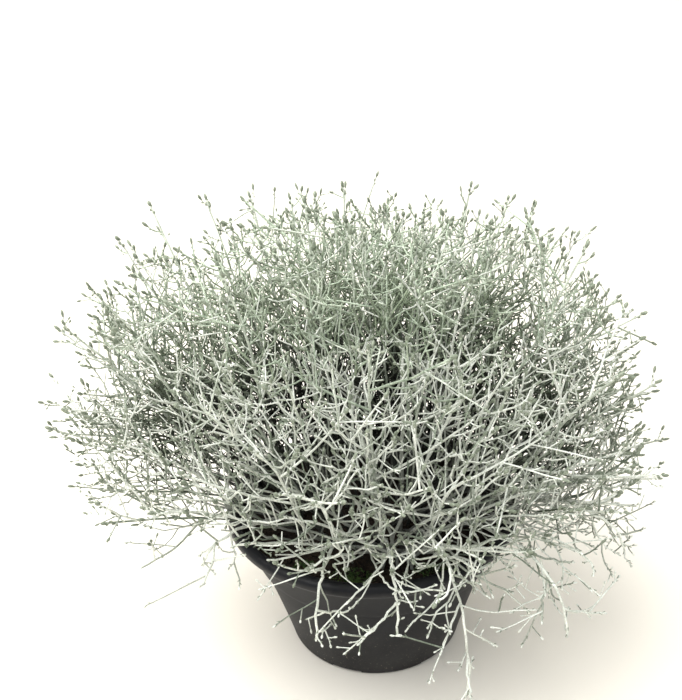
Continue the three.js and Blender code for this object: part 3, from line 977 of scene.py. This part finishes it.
def felt(name, dark, light, sheen, painted_top_light=1.0):
    """White felt over green skin, mottled and matte, darkened towards the middle of the cushion as painted
    shade and brightened towards its top as painted light.
    """
    material, shader, add, join, place = new_material(name)
    shader.inputs["Roughness"].default_value = 0.88
    shader.inputs["Specular IOR Level"].default_value = 0.2
    shader.inputs["Sheen Weight"].default_value = sheen
    shader.inputs["Sheen Roughness"].default_value = 0.5
    patch = add("ShaderNodeTexNoise", Scale=95.0, Detail=3.0)
    join(place, patch.inputs["Vector"])
    fleck = add("ShaderNodeTexNoise", Scale=1100.0, Detail=2.0)
    join(place, fleck.inputs["Vector"])
    both = add("ShaderNodeMath", operation="ADD")
    join(patch.outputs["Fac"], both.inputs[0])
    join(fleck.outputs["Fac"], both.inputs[1])
    half = add("ShaderNodeMath", operation="MULTIPLY")
    join(both.outputs["Value"], half.inputs[0])
    half.inputs[1].default_value = 0.5
    colour = ramp_between(add, join, half.outputs["Value"], dark, light, (0.38, 0.62))
    # Painted shade: the colour falls to 0.12 of itself towards the middle of the ellipsoid, where shade falls
    # deep in the cushion.
    shrink = Vector(1 / reach for reach in painted_shade_reach)
    out = add("ShaderNodeMapping", Location=-painted_shade_middle * shrink, Scale=shrink)
    join(place, out.inputs["Vector"])
    far = add("ShaderNodeVectorMath", operation="LENGTH")
    join(out.outputs["Vector"], far.inputs[0])
    painted_inner_shade = add("ShaderNodeMapRange", **{"From Min": 0.58, "From Max": 1.0, "To Min": 0.12, "To Max": 1.0})
    join(far.outputs["Value"], painted_inner_shade.inputs["Value"])
    # Painted light: from 0.20 to 0.32 m up, the colour is scaled from 1 to the given top factor, lighter at
    # the top for most finishes, where the light falls.
    height = add("ShaderNodeSeparateXYZ")
    join(place, height.inputs["Vector"])
    thick = add("ShaderNodeMapRange", **{"From Min": 0.20, "From Max": 0.32, "To Min": 1.0, "To Max": painted_top_light})
    join(height.outputs["Z"], thick.inputs["Value"])
    left = add("ShaderNodeMath", operation="MULTIPLY")
    join(painted_inner_shade.outputs["Result"], left.inputs[0])
    join(thick.outputs["Result"], left.inputs[1])
    colour_with_painted_light_and_shade = add("ShaderNodeVectorMath", operation="SCALE")
    join(colour, colour_with_painted_light_and_shade.inputs[0])
    join(left.outputs["Value"], colour_with_painted_light_and_shade.inputs["Scale"])
    join(colour_with_painted_light_and_shade.outputs["Vector"], shader.inputs["Base Color"])
    bump = add("ShaderNodeBump", Strength=0.35, Distance=0.0003)
    join(fleck.outputs["Fac"], bump.inputs["Height"])
    join(bump.outputs["Normal"], shader.inputs["Normal"])
    return material


# The last number of each finish is its painted top light: how much its colour is scaled at the top of the
# cushion.
finishes = [felt("felted_stem", (0.50, 0.525, 0.46), (0.90, 0.93, 0.86), 0.05, 0.85),
            felt("felted_twig", (0.23, 0.256, 0.21), (0.50, 0.53, 0.46), 0.05, 1.7),
            felt("green_twig", (0.10, 0.124, 0.091), (0.26, 0.295, 0.235), 0.03, 2.5),
            felt("shaded_twig", (0.045, 0.056, 0.038), (0.12, 0.14, 0.101), 0.0, 4.0),
            felt("bud", (0.13, 0.155, 0.112), (0.32, 0.355, 0.278), 0.03, 1.15)]

for i, spray in enumerate(sprays):
    node = f"stem_{i + 1:02d}"
    piece = spray_piece(node + "_spray", spray, draws_for(i, 777))
    for finish in finishes:
        piece.data.materials.append(finish)
    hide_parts(node)
    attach(piece, "root")


# The setting: a plain pale floor that bends up into a backdrop, soft light and the camera.
floor_front, floor_back, backdrop_top = -1.6, 0.75, 1.6
floor_bend = 0.45
floor_half_width = 2.2
floor_profile = [(floor_front, 0), (floor_back, 0)]
floor_profile += round_stretch((floor_back, floor_bend), floor_bend, -80, 0, 8)
floor_profile += [(floor_back + floor_bend, backdrop_top)]
sweep = bmesh.new()
points = [sweep.verts.new((-floor_half_width, y, z)) for y, z in floor_profile]
edges = [sweep.edges.new(pair) for pair in zip(points, points[1:])]
strip = bmesh.ops.extrude_edge_only(sweep, edges=edges)["geom"]
bmesh.ops.translate(sweep, vec=(floor_half_width * 2, 0, 0),
                    verts=[v for v in strip if isinstance(v, bmesh.types.BMVert)])
bmesh.ops.recalc_face_normals(sweep, faces=sweep.faces)
floor_mesh = bpy.data.meshes.new("floor")
sweep.to_mesh(floor_mesh)
sweep.free()
floor = bpy.data.objects.new("floor", floor_mesh)
bpy.context.scene.collection.objects.link(floor)
for face in floor.data.polygons:
    face.use_smooth = True
paper, shader, add, join, place = new_material("pale_floor")
shader.inputs["Base Color"].default_value = (0.91, 0.87, 0.785, 1)
shader.inputs["Roughness"].default_value = 0.7
floor.data.materials.append(paper)

world = bpy.data.worlds.new("studio")
world.use_nodes = True
sky = world.node_tree.nodes["Background"]
sky.inputs["Color"].default_value = (0.97, 0.985, 1.0, 1)
way_up = world.node_tree.nodes.new("ShaderNodeTexCoord")
split = world.node_tree.nodes.new("ShaderNodeSeparateXYZ")
fade = world.node_tree.nodes.new("ShaderNodeMapRange")
fade.inputs["To Min"].default_value = 0.62
fade.inputs["To Max"].default_value = 1.3
world.node_tree.links.new(way_up.outputs["Generated"], split.inputs["Vector"])
world.node_tree.links.new(split.outputs["Z"], fade.inputs["Value"])
world.node_tree.links.new(fade.outputs["Result"], sky.inputs["Strength"])
bpy.context.scene.world = world

key = bpy.data.lights.new("key", "AREA")
key.size = 1.4
key.energy = 30
key.color = (1.0, 0.985, 0.96)
key_place = Vector((-0.50, -0.15, 1.4))
lamp = bpy.data.objects.new("key", key)
lamp.location = key_place
lamp.rotation_euler = (Vector((0, 0, 0.1)) - key_place).to_track_quat("-Z", "Y").to_euler()
bpy.context.scene.collection.objects.link(lamp)

lens_pixels = 850
picture_height = 700
camera_place = (-0.0193, -0.5662, 0.4856)
camera_data = bpy.data.cameras.new("camera")
camera_data.sensor_width = 36
camera_data.lens = lens_pixels / picture_height * camera_data.sensor_width
camera = bpy.data.objects.new("camera", camera_data)
pitch, roll = math.radians(23.32), math.radians(-2.44)
camera.matrix_world = (Matrix.Translation(camera_place)
                       @ Matrix.Rotation(math.pi / 2 - pitch, 4, "X") @ Matrix.Rotation(roll, 4, "Z"))
bpy.context.scene.collection.objects.link(camera)
bpy.context.scene.camera = camera
bpy.context.scene.view_settings.view_transform = "Standard"
